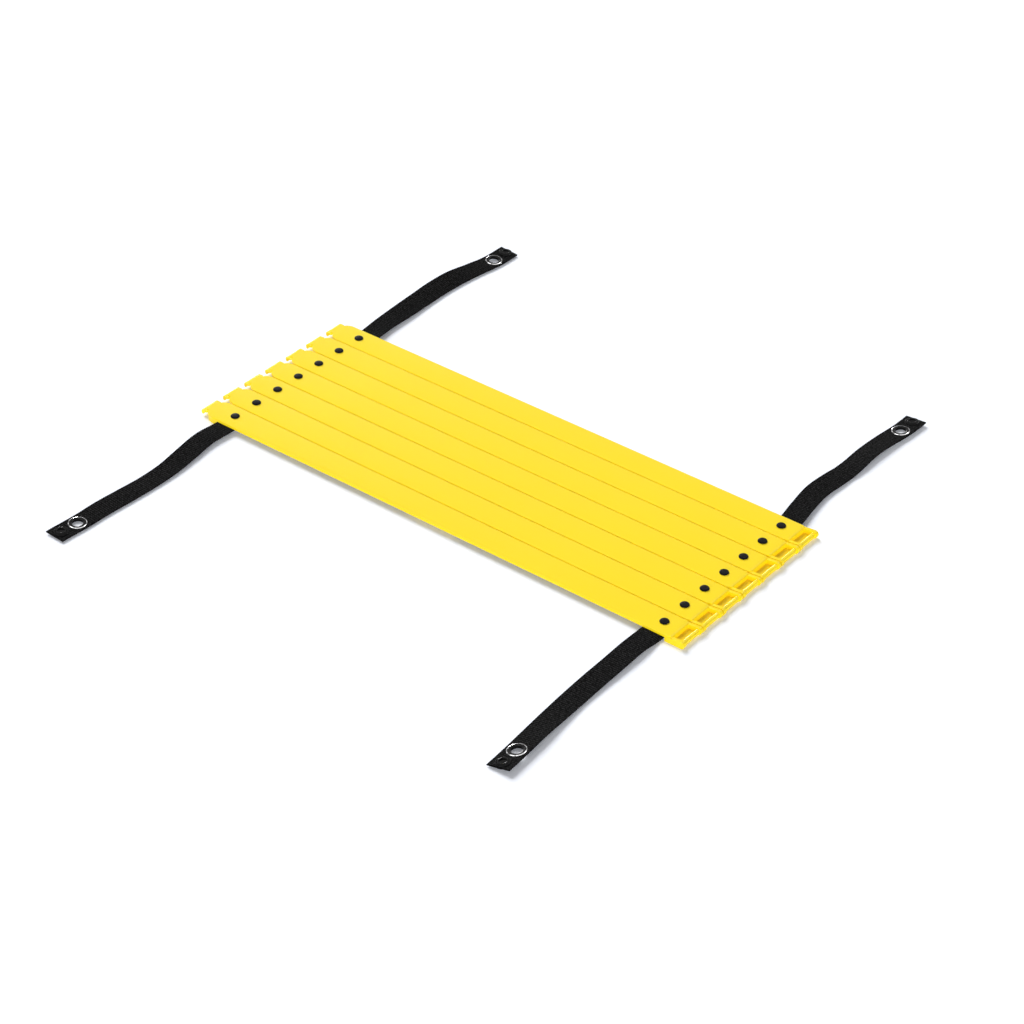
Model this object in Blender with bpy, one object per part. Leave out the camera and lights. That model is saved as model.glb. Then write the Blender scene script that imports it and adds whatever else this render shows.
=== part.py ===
"""Agility ladder, gathered flat: seven moulded rungs riveted to two webbing straps.

X runs along the rungs, Y along the straps and Z up. The origin is on the ground,
in the middle of the ladder. Every length is in metres.
"""

import math

import bmesh
import bpy
from mathutils import Matrix, Vector

MM = 0.001

# Rungs: a crowned slat on two end feet
rung_count = 7
rung_pitch = 25.4 * MM
rung_gap = 0.6 * MM
middle_rung_y = 1.56 * MM
rivet_span = 432.2 * MM
slat_edge_thickness = 2.0 * MM
slat_crown = 0.35 * MM
slat_edge_round = 0.6 * MM
foot_clearance = 0.375 * MM
foot_draft = 0.2 * MM

# Bar end, on the right: a bar between two knuckles, behind a slot with a floor
bar_reach = 26.7 * MM
slot_reach = 8.6 * MM
slot_floor = 1.6 * MM
bar_corner_length = 6.4 * MM
knuckle_radius = 3.1 * MM
knuckle_width = 2.8 * MM
arm_root_rise = 0.4 * MM
bar_radius = 1.9 * MM

# Hook end, on the left: a lip that hangs in front of a pocket
hook_reach = 30.0 * MM
hook_length = 4.8 * MM
hook_neck_length = 1.7 * MM
hook_side_length = 3.6 * MM
hook_corner_depth = 6.1 * MM
hook_width = 17.0 * MM
hook_foot_setback = 4.3 * MM
lip_thickness = 2.5 * MM
lip_tip_height = 1.5 * MM
lip_round = 2.0 * MM
pocket_depth = 0.1 * MM
pocket_round = 0.6 * MM

# Webbing
strap_width = 19.05 * MM
strap_thickness = 1.2 * MM
strap_shift = 1.0 * MM
strap_end_gap = 0.25 * MM
ground_gap = 0.2 * MM
slack_middle_gap = 52.0 * MM
slack_setback = 2.0 * MM

# Rivets
rivet_head_radius = 3.75 * MM
rivet_head_height = 1.3 * MM
rivet_head_rim = 0.35 * MM
rivet_shank_radius = 1.8 * MM
rivet_flare_radius = 3.2 * MM
rivet_flare_thickness = 0.7 * MM
rivet_flare_clearance = 0.3 * MM
rivet_hole_clearance = 0.25 * MM
seat_gap = 0.2 * MM

# Strap tails
tail_length = 189.0 * MM
tail_drop = 20.0 * MM
tail_edge_lift = 5.6 * MM
tail_end_skew = 2.0 * MM
fitting_rise_length = 12.0 * MM

# Eyelets and press studs
fitting_gap = 3.0 * MM
eyelet_radius = 7.5 * MM
eyelet_bore_radius = 4.5 * MM
eyelet_wall = 0.5 * MM
eyelet_crown = 0.9 * MM
eyelet_hole_clearance = 0.3 * MM
backing_thickness = 0.7 * MM
stud_setback = 8.4 * MM
stud_radius = 5.7 * MM
stud_height = 1.5 * MM
stud_rim_drop = 0.5 * MM
stud_rim_inset = 1.3 * MM
stud_cup_radius = 3.0 * MM
stud_cup_floor = 0.5 * MM
stud_post_radius = 1.3 * MM
stud_post_clearance = 0.25 * MM

# Small allowances for the cuts and joins
overrun = 1.0 * MM

# How finely round shapes are cut
crown_segments = 6
corner_segments = 6
round_segments = 4
knuckle_segments = 8
bar_sides = 12
rivet_sides = 12
eyelet_sides = 20
stud_sides = 16
turn_segments = 6
tail_stations = 18

# How each strap tail lies. How much shorter than the nominal one it is cut, and how much
# further out its fittings are, both in strap widths. Then how it wanders: sideways steps
# in strap widths, at even steps from the rung to the cut end, with plus towards +X. Then
# how far one edge is lifted, in full lifts at the same steps: plus for the +X edge, minus
# for the other.
tail_trim_shares = {
    ("front", "left"): -0.08,
    ("front", "right"): 0.06,
    ("back", "left"): 0.09,
    ("back", "right"): 0.28,
}
tail_fitting_shares = {
    ("front", "left"): 0.15,
    ("front", "right"): 0.02,
    ("back", "left"): 0.07,
    ("back", "right"): -0.16,
}
tail_drift_shares = {
    ("front", "left"): (0.03, -0.02, 0.15, 0.29, 0.30, 0.25, 0.17, 0.14, 0.06),
    ("front", "right"): (-0.09, -0.13, -0.12, -0.12, -0.09, -0.02, 0.07, 0.16, 0.22),
    ("back", "left"): (0, -0.09, -0.10, -0.15, -0.18, -0.14, -0.01, 0.18, 0.20),
    ("back", "right"): (0, -0.20, -0.34, -0.27, -0.21, -0.23, -0.15, -0.01, 0.02),
}
tail_lift_shares = {
    ("front", "left"): (0, -0.20, -0.24, -0.05, 0, -0.16, -0.18, -0.12, -0.12),
    ("front", "right"): (0, 0.10, 0.10, 0.08, 0.10, 0.28, 0.55, 0.55, 0.55),
    ("back", "left"): (0, -0.20, -0.60, -0.78, -1, -0.93, -0.42, -0.27, -0.27),
    ("back", "right"): (0, 0, -0.20, -0.20, 0.22, 0.45, 0.34, 0.22, 0.22),
}

# Values worked out from the sizes above
rung_width = rung_pitch - rung_gap
half_width = rung_width / 2
rivet_x = rivet_span / 2
stack_half = (rung_pitch * (rung_count - 1) + rung_width) / 2
rivets_middle = (hook_reach - bar_reach) / 2

slack_bottom = ground_gap
slack_top = slack_bottom + strap_thickness
rivet_flare_bottom = slack_top + rivet_flare_clearance
rivet_flare_top = rivet_flare_bottom + rivet_flare_thickness
strap_bottom = rivet_flare_top + seat_gap
strap_top = strap_bottom + strap_thickness
strap_end = half_width - strap_end_gap

slat_underside = strap_top + seat_gap
slat_edge_top = slat_underside + slat_edge_thickness
slat_top = slat_edge_top + slat_crown
foot_start = strap_width / 2 - strap_shift + foot_clearance

bar_x = bar_reach - knuckle_radius
bar_slat_reach = bar_x - slot_reach
bar_corner_start = bar_slat_reach - bar_corner_length
arm_root_height = slat_underside + arm_root_rise
slot_half = half_width - foot_draft - knuckle_width

hook_root = hook_reach - hook_length
hook_corner_start = foot_start + hook_side_length
hook_corner_length = hook_root - hook_neck_length - hook_corner_start
hook_foot_reach = hook_root - hook_foot_setback
pocket_top = slat_underside + pocket_depth

fitting_lift = backing_thickness + seat_gap
fitting_pitch = stud_radius + fitting_gap + eyelet_radius

half_turn = math.pi
quarter_turn = math.pi / 2
full_turn = 2 * math.pi


def clear_scene():
    for obj in list(bpy.data.objects):
        bpy.data.objects.remove(obj)


def material(name, colour, roughness, metallic):
    made = bpy.data.materials.new(name)
    made.use_nodes = True
    shader = made.node_tree.nodes["Principled BSDF"]
    shader.inputs["Base Color"].default_value = (*colour, 1)
    shader.inputs["Roughness"].default_value = roughness
    shader.inputs["Metallic"].default_value = metallic
    return made


def arc(centre, radii, start, end, segments):
    """Points along an ellipse's arc, from the start angle to the end angle."""
    points = []
    for step in range(segments + 1):
        angle = start + (end - start) * step / segments
        points.append((centre[0] + radii[0] * math.cos(angle), centre[1] + radii[1] * math.sin(angle)))
    return points


def new_object(name, bm):
    """The bmesh as an object, with its faces pointing out."""
    bmesh.ops.recalc_face_normals(bm, faces=bm.faces)
    mesh = bpy.data.meshes.new(name)
    bm.to_mesh(mesh)
    bm.free()
    obj = bpy.data.objects.new(name, mesh)
    bpy.context.scene.collection.objects.link(obj)
    return obj


def prism(name, outline, place, sweep):
    """An outline, put in space by place(u, v), swept along a vector."""
    bm = bmesh.new()
    corners = [bm.verts.new(place(u, v)) for u, v in outline]
    face = bm.faces.new(corners)
    swept = bmesh.ops.extrude_face_region(bm, geom=[face])
    moved = [item for item in swept["geom"] if isinstance(item, bmesh.types.BMVert)]
    bmesh.ops.translate(bm, verts=moved, vec=Vector(sweep))
    return new_object(name, bm)


def upright_prism(name, outline, low, high):
    """An outline in X and Y, raised from low to high."""
    return prism(name, outline, lambda x, y: (x, y, low), (0, 0, high - low))


def cross_prism(name, outline, near, far):
    """An outline in X and Z, swept along Y from near to far."""
    return prism(name, outline, lambda x, z: (x, near, z), (0, far - near, 0))


def long_prism(name, outline, left, right):
    """An outline in Y and Z, swept along X from left to right."""
    return prism(name, outline, lambda y, z: (left, y, z), (right - left, 0, 0))


def rectangle(low_u, high_u, low_v, high_v):
    return [(low_u, low_v), (high_u, low_v), (high_u, high_v), (low_u, high_v)]


def turned(name, profile, sides, is_ring):
    """A profile of (radius, height) points turned about Z: a ring, or closed on the axis."""
    bm = bmesh.new()
    rings = []
    for radius, height in profile:
        if radius == 0:
            rings.append([bm.verts.new((0, 0, height))] * sides)
            continue
        ring = []
        for side in range(sides):
            angle = full_turn * side / sides
            ring.append(bm.verts.new((radius * math.cos(angle), radius * math.sin(angle), height)))
        rings.append(ring)
    pairs = list(zip(rings, rings[1:]))
    if is_ring:
        pairs.append((rings[-1], rings[0]))
    for lower, upper in pairs:
        for side in range(sides):
            after = (side + 1) % sides
            corners = [lower[side], lower[after], upper[after], upper[side]]
            bm.faces.new(list(dict.fromkeys(corners)))
    return new_object(name, bm)


def combine(base, tools, operation):
    """The base after a Boolean with each tool, which is then removed."""
    for tool in tools:
        boolean = base.modifiers.new("Boolean", "BOOLEAN")
        boolean.operation = operation
        boolean.solver = "EXACT"
        boolean.object = tool
    graph = bpy.context.evaluated_depsgraph_get()
    mesh = bpy.data.meshes.new_from_object(base.evaluated_get(graph))
    base.modifiers.clear()
    base.data = mesh
    for tool in tools:
        bpy.data.objects.remove(tool)
    return base


def finish(obj, finish_material, smooth_angle=None):
    obj.data.materials.clear()
    obj.data.materials.append(finish_material)
    if smooth_angle is not None:
        obj.data.shade_smooth()
        obj.data.set_sharp_from_angle(angle=smooth_angle)
    return obj


def copy_of(pattern, name, pose):
    obj = bpy.data.objects.new(name, pattern.data)
    obj.matrix_world = pose
    bpy.context.scene.collection.objects.link(obj)
    return obj


# Rung


def slat_section():
    """The slat's cross-section: flat below, crowned above, with rounded long edges."""
    inner = half_width - slat_edge_round
    edge_centre = slat_edge_top - slat_edge_round
    radii = (slat_edge_round, slat_edge_round)
    points = [(-half_width, slat_underside), (half_width, slat_underside)]
    points += arc((inner, edge_centre), radii, 0, quarter_turn, round_segments)
    for step in range(1, crown_segments):
        y = inner - 2 * inner * step / crown_segments
        points.append((y, slat_edge_top + slat_crown * (1 - (y / inner) ** 2)))
    points += arc((-inner, edge_centre), radii, quarter_turn, half_turn, round_segments)
    return points


def slat_plan():
    """The slat's outline from above, wider than the slat between its rounded ends."""
    wide = half_width + overrun
    bar_corner = arc(
        (rivet_x + bar_corner_start, slot_half),
        (bar_slat_reach - bar_corner_start, half_width - slot_half),
        0,
        quarter_turn,
        corner_segments,
    )
    hook_corner = arc(
        (-rivet_x - hook_corner_start, half_width - hook_corner_depth),
        (hook_corner_length, hook_corner_depth),
        quarter_turn,
        half_turn,
        corner_segments,
    )
    neck = (-rivet_x - hook_root - overrun, half_width - hook_corner_depth)
    back = bar_corner + [(bar_corner[-1][0], wide), (hook_corner[0][0], wide)] + hook_corner + [neck]
    front = [(x, -y) for x, y in reversed(back)]
    return back + front


def hook_foot_plan():
    """The outline of the foot at the hook end, just inside the slat's own."""
    radii = (hook_corner_length - foot_draft, hook_corner_depth - foot_draft)
    centre = (-rivet_x - hook_corner_start, half_width - hook_corner_depth)
    reach = math.asin((hook_foot_reach - hook_corner_start) / radii[0])
    corner = arc(centre, radii, quarter_turn, quarter_turn + reach, corner_segments)
    back = [(-rivet_x - foot_start, half_width - foot_draft)] + corner
    front = [(x, -y) for x, y in reversed(back)]
    return back + front


def hook_profile():
    """The lip seen from the front: a rounded shoulder, a round tip and a filleted pocket."""
    outer = -rivet_x - hook_reach
    inner = outer + lip_thickness
    root = -rivet_x - hook_root + overrun
    tip_radius = lip_thickness / 2
    points = [(root, slat_edge_top)]
    points += arc(
        (outer + lip_round, slat_edge_top - lip_round),
        (lip_round, lip_round),
        quarter_turn,
        half_turn,
        round_segments,
    )
    points += arc(
        (outer + tip_radius, lip_tip_height + tip_radius),
        (tip_radius, tip_radius),
        half_turn,
        full_turn,
        knuckle_segments,
    )
    points += arc(
        (inner + pocket_round, pocket_top - pocket_round),
        (pocket_round, pocket_round),
        half_turn,
        quarter_turn,
        round_segments,
    )
    points.append((root, pocket_top))
    return points


def bar_foot_profile(top):
    """The foot at the bar end seen from the front, with the slot's floor out to the bar."""
    root = rivet_x + foot_start + foot_draft
    wall = rivet_x + bar_slat_reach - foot_draft
    end = rivet_x + bar_x + bar_radius / 3
    return [(root, 0), (end, 0), (end, slot_floor), (wall, slot_floor), (wall, top), (root, top)]


def arm_profile():
    """An arm seen from the front, rising to the knuckle that holds the bar."""
    centre = (rivet_x + bar_x, knuckle_radius)
    radii = (knuckle_radius, knuckle_radius)
    root = rivet_x + foot_start
    points = [(root, 0)]
    points += arc(centre, radii, -quarter_turn, quarter_turn, knuckle_segments)
    points.append((root, arm_root_height))
    return points


def make_rung(yellow):
    slat = long_prism("slat", slat_section(), -rivet_x - hook_reach, rivet_x + bar_reach)
    plan = upright_prism("plan", slat_plan(), slat_underside - overrun, slat_top + overrun)
    combine(slat, [plan], "INTERSECT")
    pocket = cross_prism(
        "pocket",
        rectangle(
            -rivet_x - hook_reach - overrun,
            -rivet_x - hook_foot_reach,
            slat_underside - overrun,
            pocket_top,
        ),
        -half_width - overrun,
        half_width + overrun,
    )
    combine(slat, [pocket], "DIFFERENCE")
    foot_top = slat_underside + slat_edge_thickness / 2
    foot_half = half_width - foot_draft - knuckle_width / 2
    joined = [
        cross_prism("bar_foot", bar_foot_profile(foot_top), -foot_half, foot_half),
        upright_prism("hook_foot", hook_foot_plan(), 0, foot_top),
    ]
    for side in (-1, 1):
        outer = side * (half_width - foot_draft)
        joined.append(cross_prism("arm", arm_profile(), outer - side * knuckle_width, outer))
    bar_length = 2 * foot_half
    bar_outline = [(0, 0), (bar_radius, 0), (bar_radius, bar_length), (0, bar_length)]
    bar = turned("bar", bar_outline, bar_sides, False)
    bar.data.transform(Matrix.Rotation(-quarter_turn, 4, "X"))
    bar.data.transform(Matrix.Translation((rivet_x + bar_x, -foot_half, knuckle_radius)))
    joined.append(bar)
    joined.append(cross_prism("lip", hook_profile(), -hook_width / 2, hook_width / 2))
    combine(slat, joined, "UNION")
    holes = []
    for side in (-1, 1):
        hole = rivet_hole(slat_underside - overrun, slat_top + overrun)
        hole.location = (side * rivet_x, 0, 0)
        holes.append(hole)
    bpy.context.view_layer.update()
    return finish(combine(slat, holes, "DIFFERENCE"), yellow, math.radians(28))


def rivet_hole(low, high):
    radius = rivet_shank_radius + rivet_hole_clearance
    return turned("hole", [(0, low), (radius, low), (radius, high), (0, high)], rivet_sides, False)


# Rivet


def make_rivet(black):
    """A domed head on the slat, a shank through slat and strap, and a flare under the strap."""
    base = slat_top + seat_gap
    rim = base + rivet_head_rim
    dome_height = rivet_head_height - rivet_head_rim
    profile = [
        (0, rivet_flare_bottom),
        (rivet_flare_radius, rivet_flare_bottom),
        (rivet_flare_radius, rivet_flare_top),
        (rivet_shank_radius, rivet_flare_top),
        (rivet_shank_radius, base),
        (rivet_head_radius, base),
    ]
    profile += arc((0, rim), (rivet_head_radius, dome_height), 0, quarter_turn, round_segments)[:-1]
    profile.append((0, rim + dome_height))
    return finish(turned("rivet", profile, rivet_sides, False), black, math.radians(40))


# Webbing under the rungs


def strap_patch(name):
    """The webbing under one rung, from its front edge to its back edge."""
    return upright_prism(
        name,
        rectangle(-strap_width / 2, strap_width / 2, -strap_end, strap_end),
        strap_bottom,
        strap_top,
    )


def slack_loop(name, inward):
    """The spare webbing to the next rung, doubled flat and tucked along the rung."""
    outer = -inward * strap_width / 2
    middle = (slack_bottom + strap_top) / 2
    outer_radius = (strap_top - slack_bottom) / 2
    turn_x = inward * (rivet_x - strap_shift - outer_radius - slack_middle_gap / 2)
    inner_radius = (strap_bottom - slack_top) / 2
    start, end = quarter_turn, -quarter_turn
    turn = arc((0, middle), (inward * outer_radius, outer_radius), start, end, turn_segments)
    back = arc((0, middle), (inward * inner_radius, inner_radius), end, start, turn_segments)
    points = [(outer, strap_top)] + [(x + turn_x, z) for x, z in turn]
    points += [(outer, slack_bottom), (outer, slack_top)]
    points += [(x + turn_x, z) for x, z in back] + [(outer, strap_bottom)]
    near = slack_setback - strap_width / 2
    return cross_prism(name, points, near, near + strap_width)


def make_strap(inward, with_slack, webbing):
    strap = strap_patch("strap")
    if with_slack:
        combine(strap, [slack_loop("slack", inward)], "UNION")
    strap.data.transform(Matrix.Translation((inward * strap_shift, 0, 0)))
    hole = rivet_hole(slack_top + seat_gap, strap_top + overrun)
    return finish(combine(strap, [hole], "DIFFERENCE"), webbing)


# Strap tails


def smooth_step(low, high, value):
    share = min(max((value - low) / (high - low), 0), 1)
    return share * share * (3 - 2 * share)


def spaced(table, share):
    """The table read as a smooth curve through its evenly spaced values."""
    last = len(table) - 1
    place = min(max(share, 0), 1) * last
    at = min(int(place), last - 1)
    t = place - at
    before, here, there, beyond = (table[min(max(at + k, 0), last)] for k in (-1, 0, 1, 2))
    bend_in = (there - before) / 2
    bend_out = (beyond - here) / 2
    hermite = (2 * t**3 - 3 * t**2 + 1, t**3 - 2 * t**2 + t, 3 * t**2 - 2 * t**3, t**3 - t**2)
    return hermite[0] * here + hermite[1] * bend_in + hermite[2] * there + hermite[3] * bend_out


def stud_run(tail):
    """How far from the rung the tail's press stud is."""
    return tail_length - stud_setback + tail_fitting_shares[tail] * strap_width


def eyelet_run(tail):
    return stud_run(tail) - fitting_pitch


def fitting_share(tail, run):
    """0 along the free webbing, rising to 1 where its fittings begin."""
    fittings = eyelet_run(tail) - eyelet_radius
    return smooth_step(fittings - fitting_rise_length, fittings, run)


def tail_height(tail, run):
    """How high the webbing's underside is: it drops off the rung, and rises onto its fittings."""
    dropped = strap_bottom * (1 - smooth_step(0, tail_drop, run))
    return dropped + fitting_lift * fitting_share(tail, run)


def edge_lift(tail, run):
    """How far the +X edge stands above the other one: it varies, but is steady at the fittings."""
    free = spaced(tail_lift_shares[tail], run / tail_length)
    steady = spaced(tail_lift_shares[tail], eyelet_run(tail) / tail_length)
    return (free + (steady - free) * fitting_share(tail, run)) * tail_edge_lift


def tail_place(tail, run):
    """The middle of the tail's line over the ground, run metres from the rung."""
    forward = -1 if tail[0] == "front" else 1
    side = -1 if tail[1] == "left" else 1
    drift = spaced(tail_drift_shares[tail], run / tail_length) * strap_width
    x = rivets_middle + side * rivet_x + drift
    return Vector((x, middle_rung_y + forward * (stack_half + run), 0))


def tail_pose(tail, run):
    """The frame of the webbing's underside: X across, Y along and Z out of its top face."""
    step = tail_length / tail_stations
    ahead = tail_place(tail, run + step) - tail_place(tail, run - step)
    if ahead.y < 0:
        ahead = -ahead
    square_off = smooth_step(0, tail_drop, run)
    level = Vector((ahead.y, -ahead.x * square_off, 0)).normalized()
    lift = edge_lift(tail, run)
    upright = Vector((0, 0, 1))
    along = upright.cross(level)
    across = level * math.sqrt(1 - (lift / strap_width) ** 2) + upright * lift / strap_width
    middle = tail_place(tail, run) + upright * (tail_height(tail, run) + abs(lift) / 2)
    pose = Matrix((across, along, across.cross(along))).transposed().to_4x4()
    pose.translation = middle
    return pose


def make_tail(tail, webbing):
    """One loose strap end, lofted through its sections, with holes for its fittings."""
    bm = bmesh.new()
    forward = -1 if tail[0] == "front" else 1
    end_skew = tail_end_skew if tail == ("front", "right") else 0
    length = tail_length - tail_trim_shares[tail] * strap_width
    loops = []
    for station in range(tail_stations + 1):
        run = seat_gap + (length - seat_gap) * station / tail_stations
        skew = -forward * end_skew if station == tail_stations else 0
        pose = tail_pose(tail, run)
        half = strap_width / 2
        corners = (
            (-half, 0, 0),
            (half, skew, 0),
            (half, skew, strap_thickness),
            (-half, 0, strap_thickness),
        )
        loops.append([bm.verts.new(pose @ Vector(corner)) for corner in corners])
    for near, far in zip(loops, loops[1:]):
        for k in range(4):
            after = (k + 1) % 4
            bm.faces.new((near[k], near[after], far[after], far[k]))
    bm.faces.new(loops[0])
    bm.faces.new(loops[-1])
    bmesh.ops.triangulate(bm, faces=bm.faces)
    obj = new_object("tail", bm)
    holes = []
    for run, radius, sides in (
        (eyelet_run(tail), eyelet_bore_radius + eyelet_wall + eyelet_hole_clearance, eyelet_sides),
        (stud_run(tail), stud_post_radius + stud_post_clearance, rivet_sides),
    ):
        low = -overrun
        high = strap_thickness + overrun
        hole = turned("hole", [(0, low), (radius, low), (radius, high), (0, high)], sides, False)
        hole.matrix_world = tail_pose(tail, run)
        holes.append(hole)
    bpy.context.view_layer.update()
    combine(obj, holes, "DIFFERENCE")
    return finish(obj, webbing)


def fold_pivot(tail):
    """An empty on the line that a tail folds about: level with the rung's top, at its edge."""
    forward = -1 if tail[0] == "front" else 1
    side = -1 if tail[1] == "left" else 1
    pivot = bpy.data.objects.new(f"fold_{tail[0]}_{tail[1]}", None)
    edge = middle_rung_y + forward * (stack_half + seat_gap)
    pivot.location = (rivets_middle + side * rivet_x, edge, slat_top)
    bpy.context.scene.collection.objects.link(pivot)
    return pivot


def hang_from(pivot, obj):
    """Parent the object to the pivot and leave it where it is."""
    obj.parent = pivot
    obj.matrix_parent_inverse = Matrix.Translation(pivot.location).inverted()


# Eyelets and press studs


def make_eyelet(metal):
    """The upper half: a rounded flange on the strap and a barrel through it."""
    base = strap_thickness + seat_gap
    outer_wall = eyelet_bore_radius + eyelet_wall
    barrel_end = ground_gap - fitting_lift
    middle = (eyelet_bore_radius + eyelet_radius) / 2
    half = (eyelet_radius - eyelet_bore_radius) / 2
    profile = [(outer_wall, base), (outer_wall, barrel_end), (eyelet_bore_radius, barrel_end)]
    profile += reversed(arc((middle, base), (half, eyelet_crown), 0, half_turn, turn_segments))
    return finish(turned("eyelet", profile, eyelet_sides, True), metal, math.radians(50))


def make_washer(metal):
    """The lower half: a flat ring under the strap, round the barrel."""
    inner = eyelet_bore_radius + eyelet_wall + eyelet_hole_clearance
    profile = rectangle(inner, eyelet_radius, -fitting_lift, -seat_gap)
    return finish(turned("washer", profile, eyelet_sides, True), metal, math.radians(50))


def make_socket(black_metal):
    """The press stud's cup on top of the strap, open in the middle."""
    base = strap_thickness + seat_gap
    top = base + stud_height
    hole = stud_post_radius + stud_post_clearance
    profile = [
        (hole, base),
        (stud_radius, base),
        (stud_radius, top - stud_rim_drop),
        (stud_radius - stud_rim_inset, top),
        (stud_cup_radius, top),
        (stud_cup_radius, base + stud_cup_floor),
        (hole, base + stud_cup_floor),
    ]
    return finish(turned("socket", profile, stud_sides, True), black_metal, math.radians(40))


def make_cap(black_metal):
    """The press stud's plain cap under the strap, with the post that holds the cup."""
    post_top = strap_thickness + seat_gap + stud_cup_floor
    profile = [
        (0, -fitting_lift),
        (stud_radius, -fitting_lift),
        (stud_radius, -seat_gap),
        (stud_post_radius, -seat_gap),
        (stud_post_radius, post_top),
        (0, post_top),
    ]
    return finish(turned("cap", profile, stud_sides, False), black_metal, math.radians(40))


# Assembly


def main():
    clear_scene()
    yellow = material("rung_plastic", (1.0, 0.76, 0.05), 0.42, 0.0)
    black = material("rivet_plastic", (0.02, 0.02, 0.02), 0.4, 0.0)
    webbing = material("webbing", (0.02, 0.02, 0.02), 0.85, 0.0)
    silver = material("eyelet_metal", (0.75, 0.75, 0.76), 0.25, 1.0)
    dark_metal = material("stud_metal", (0.03, 0.03, 0.03), 0.35, 0.6)

    rung = make_rung(yellow)
    rivet = make_rivet(black)
    middle = (rung_count - 1) / 2
    patterns = [rung, rivet]
    for side_name, side in (("left", -1), ("right", 1)):
        slack_strap = make_strap(-side, True, webbing)
        plain_strap = make_strap(-side, False, webbing)
        patterns += [slack_strap, plain_strap]
        for number in range(1, rung_count + 1):
            y = middle_rung_y + (number - 1 - middle) * rung_pitch
            place = Matrix.Translation((rivets_middle + side * rivet_x, y, 0))
            strap = slack_strap if number < rung_count else plain_strap
            copy_of(strap, f"strap_{side_name}_{number}", place)
            copy_of(rivet, f"rivet_{side_name}_{number}", place)
    for number in range(1, rung_count + 1):
        y = middle_rung_y + (number - 1 - middle) * rung_pitch
        copy_of(rung, f"rung_{number}", Matrix.Translation((rivets_middle, y, 0)))

    fittings = (
        (make_eyelet(silver), "eyelet", eyelet_run),
        (make_washer(silver), "eyelet_washer", eyelet_run),
        (make_socket(dark_metal), "stud_socket", stud_run),
        (make_cap(dark_metal), "stud_cap", stud_run),
    )
    for tail in tail_drift_shares:
        place_name = f"{tail[0]}_{tail[1]}"
        pivot = fold_pivot(tail)
        strap_end_piece = make_tail(tail, webbing)
        strap_end_piece.name = f"tail_{place_name}"
        hang_from(pivot, strap_end_piece)
        for fitting, name, run_on in fittings:
            pose = tail_pose(tail, run_on(tail))
            hang_from(pivot, copy_of(fitting, f"{name}_{place_name}", pose))
    for pattern in patterns + [fitting for fitting, name, run_on in fittings]:
        bpy.data.objects.remove(pattern)


main()
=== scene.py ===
"""Looks for the agility ladder: moulded rungs, webbing, rivets, eyelets and press studs.

X runs along the rungs, Y along the straps and Z up, in metres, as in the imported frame.
"""

import math

import bmesh
import bpy
from mathutils import Matrix, Vector


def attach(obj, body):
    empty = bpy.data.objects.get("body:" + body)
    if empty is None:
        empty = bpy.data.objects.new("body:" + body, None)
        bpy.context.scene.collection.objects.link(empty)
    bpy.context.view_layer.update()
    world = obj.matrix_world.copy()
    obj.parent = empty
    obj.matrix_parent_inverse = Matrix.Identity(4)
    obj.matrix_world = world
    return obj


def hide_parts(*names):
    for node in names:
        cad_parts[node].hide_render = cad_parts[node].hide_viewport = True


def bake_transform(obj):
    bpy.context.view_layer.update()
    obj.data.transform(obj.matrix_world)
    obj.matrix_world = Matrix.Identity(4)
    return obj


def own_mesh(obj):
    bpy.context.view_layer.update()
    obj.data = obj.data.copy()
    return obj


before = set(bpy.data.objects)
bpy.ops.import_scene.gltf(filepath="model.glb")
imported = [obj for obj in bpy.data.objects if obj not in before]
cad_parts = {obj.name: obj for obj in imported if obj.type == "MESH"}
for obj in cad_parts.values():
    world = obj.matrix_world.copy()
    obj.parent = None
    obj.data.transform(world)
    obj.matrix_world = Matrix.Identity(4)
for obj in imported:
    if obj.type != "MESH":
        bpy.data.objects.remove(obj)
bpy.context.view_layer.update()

MM = 0.001

# Sizes that follow the solids
rung_count = 7
rung_pitch = 25.4 * MM
rung_gap = 0.6 * MM
middle_rung_y = 1.56 * MM
rivet_span = 432.2 * MM
slat_edge_thickness = 2.0 * MM
slat_crown = 0.35 * MM
foot_clearance = 0.375 * MM
foot_draft = 0.2 * MM
bar_reach = 26.7 * MM
slot_reach = 8.6 * MM
slot_floor = 1.6 * MM
bar_corner_length = 6.4 * MM
knuckle_radius = 3.1 * MM
knuckle_width = 2.8 * MM
arm_root_rise = 0.4 * MM
bar_radius = 1.9 * MM
hook_reach = 30.0 * MM
hook_length = 4.8 * MM
hook_neck_length = 1.7 * MM
hook_side_length = 3.6 * MM
hook_corner_depth = 6.1 * MM
hook_width = 17.0 * MM
hook_foot_setback = 4.3 * MM
lip_thickness = 2.5 * MM
lip_tip_height = 1.5 * MM
lip_round = 2.0 * MM
pocket_depth = 0.1 * MM
pocket_round = 0.6 * MM
strap_width = 19.05 * MM
strap_thickness = 1.2 * MM
strap_shift = 1.0 * MM
ground_gap = 0.2 * MM
slack_middle_gap = 52.0 * MM
slack_setback = 2.0 * MM
rivet_head_radius = 3.75 * MM
rivet_head_height = 1.3 * MM
rivet_shank_radius = 1.8 * MM
rivet_flare_radius = 3.2 * MM
rivet_flare_thickness = 0.7 * MM
rivet_flare_clearance = 0.3 * MM
seat_gap = 0.2 * MM
spread_travel = 355.6 * MM
tail_length = 189.0 * MM
tail_drop = 20.0 * MM
tail_edge_lift = 5.6 * MM
tail_end_skew = 2.0 * MM
fitting_rise_length = 12.0 * MM
fitting_gap = 3.0 * MM
eyelet_radius = 7.5 * MM
eyelet_bore_radius = 4.5 * MM
eyelet_wall = 0.5 * MM
eyelet_hole_clearance = 0.3 * MM
backing_thickness = 0.7 * MM
stud_setback = 8.4 * MM
stud_radius = 5.7 * MM
stud_height = 1.5 * MM
stud_cup_radius = 3.0 * MM
stud_cup_floor = 0.5 * MM
stud_post_radius = 1.3 * MM

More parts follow.
